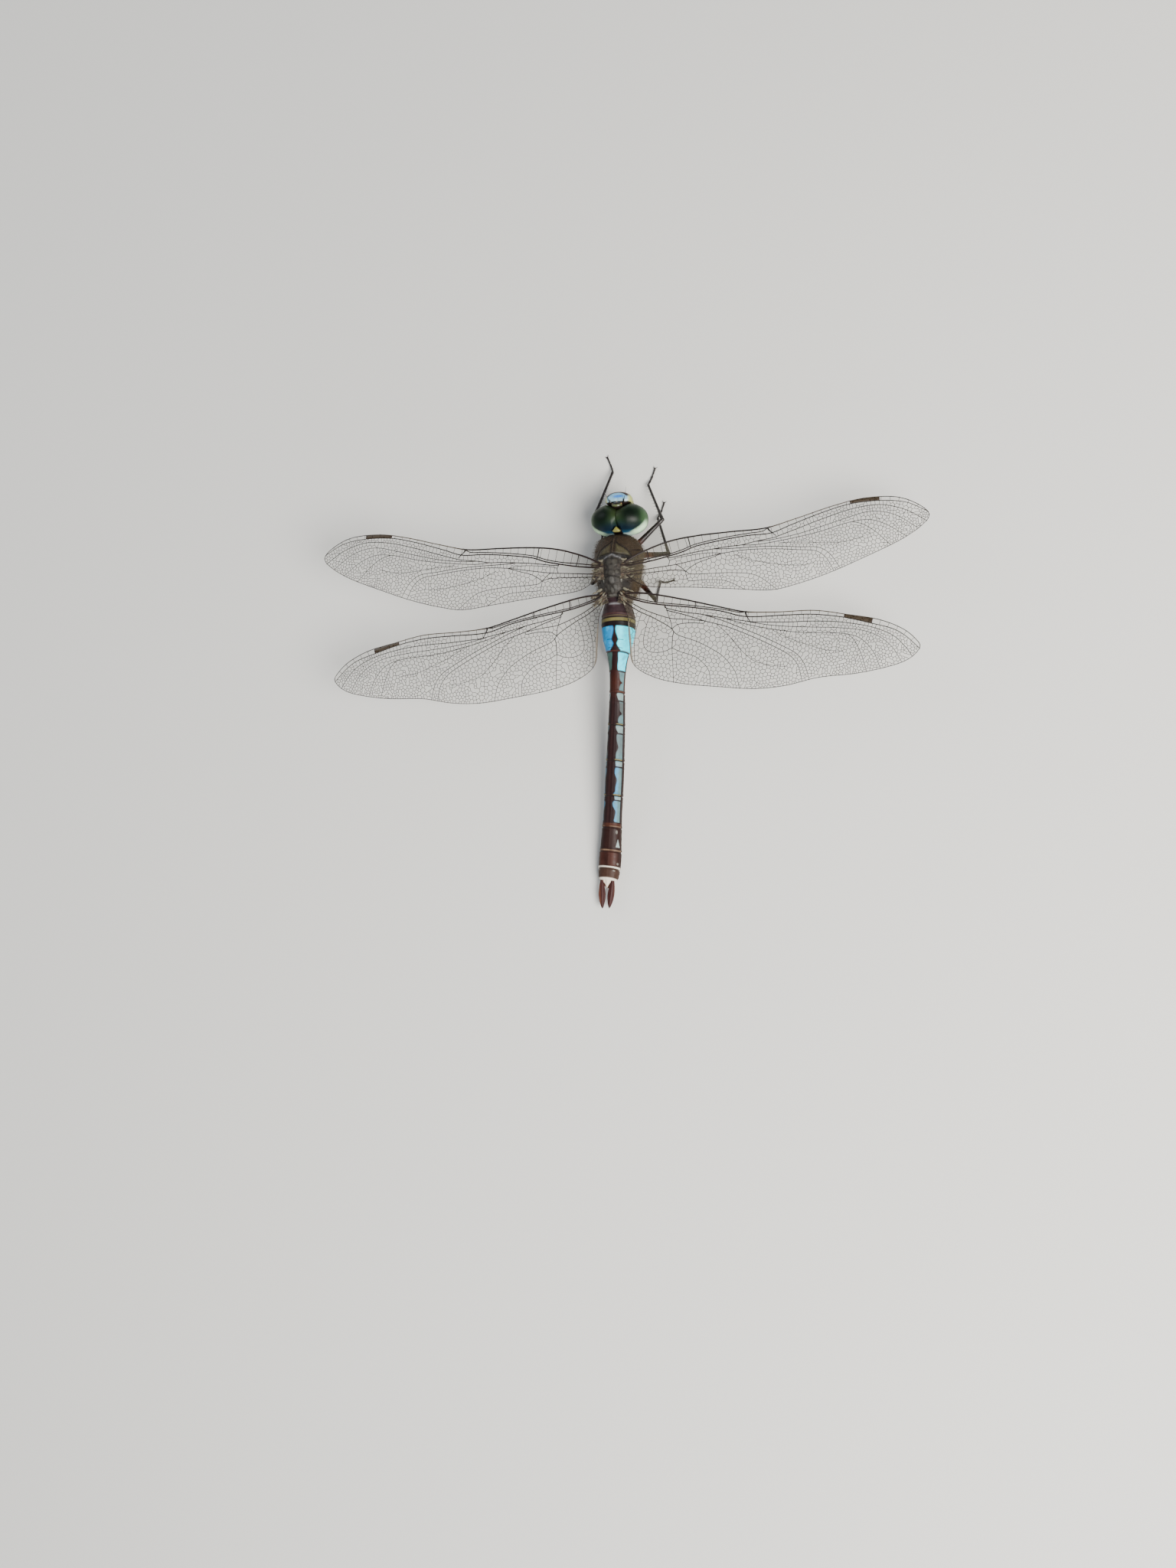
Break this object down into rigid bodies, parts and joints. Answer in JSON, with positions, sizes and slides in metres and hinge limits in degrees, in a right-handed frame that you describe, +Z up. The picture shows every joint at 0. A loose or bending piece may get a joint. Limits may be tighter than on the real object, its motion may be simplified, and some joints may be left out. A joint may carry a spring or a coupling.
{
  "type": "dragonfly",
  "caption": "Life-size male Lesser Emperor dragonfly, standing with its wings spread: a still museum-style model of the whole insect.",
  "frame": {"origin": "on the floor under the middle of the insect's bounding box", "axes": "-Y towards the head, +Y towards the tail, +X towards the insect's left, +Z up; wings spread along X"},
  "size_m": [0.1054, 0.0798, 0.0129],
  "materials": {
    "eye": "glossy green compound eyes with near-black centres and a pale rear rim",
    "head_cuticle": "dark brown head capsule with a yellow triangle behind the eyes",
    "face": "satin pale blue-green face with a brown front band",
    "mouthparts": "satin yellow-brown mouthparts",
    "antenna": "black bristle feelers",
    "thorax": "olive-brown thorax with a greyish bloom and fine down",
    "wing": "clear membrane with a faint brown tint between black-brown veins",
    "abdomen_base": "purplish brown first segment",
    "abdomen_saddle": "sky-blue saddle with a dark stripe down the back",
    "abdomen": "dark red-brown back with grey-blue side patches and pale joints",
    "claspers": "dark red-brown claspers",
    "leg": "black legs, reddish brown at the base"
  },
  "bodies": {
    "root": {"abdomen_01": "abdomen_base", "abdomen_02": "abdomen_saddle", "abdomen_03": "abdomen_saddle", "abdomen_04": "abdomen", "abdomen_05": "abdomen", "abdomen_06": "abdomen", "abdomen_07": "abdomen", "abdomen_08": "abdomen", "abdomen_09": "abdomen", "abdomen_10": "abdomen", "antenna_left": "antenna", "antenna_right": "antenna", "cercus_left": "claspers", "cercus_right": "claspers", "clypeus": "face", "epiproct": "claspers", "eye_left": "eye", "eye_right": "eye", "frons": "face", "head": "head_cuticle", "jaws": "mouthparts", "labrum": "mouthparts", "leg_fore_left_femur": "leg", "leg_fore_left_tarsus": "leg", "leg_fore_left_tibia": "leg", "leg_fore_right_femur": "leg", "leg_fore_right_tarsus": "leg", "leg_fore_right_tibia": "leg", "leg_hind_left_femur": "leg", "leg_hind_left_tarsus": "leg", "leg_hind_left_tibia": "leg", "leg_hind_right_femur": "leg", "leg_hind_right_tarsus": "leg", "leg_hind_right_tibia": "leg", "leg_middle_left_femur": "leg", "leg_middle_left_tarsus": "leg", "leg_middle_left_tibia": "leg", "leg_middle_right_femur": "leg", "leg_middle_right_tarsus": "leg", "leg_middle_right_tibia": "leg", "neck": "head_cuticle", "prothorax": "thorax", "thorax": "thorax", "vertex": "head_cuticle", "wing_fore_left": "wing", "wing_fore_right": "wing", "wing_hind_left": "wing", "wing_hind_right": "wing"}
  },
  "joints": []
}
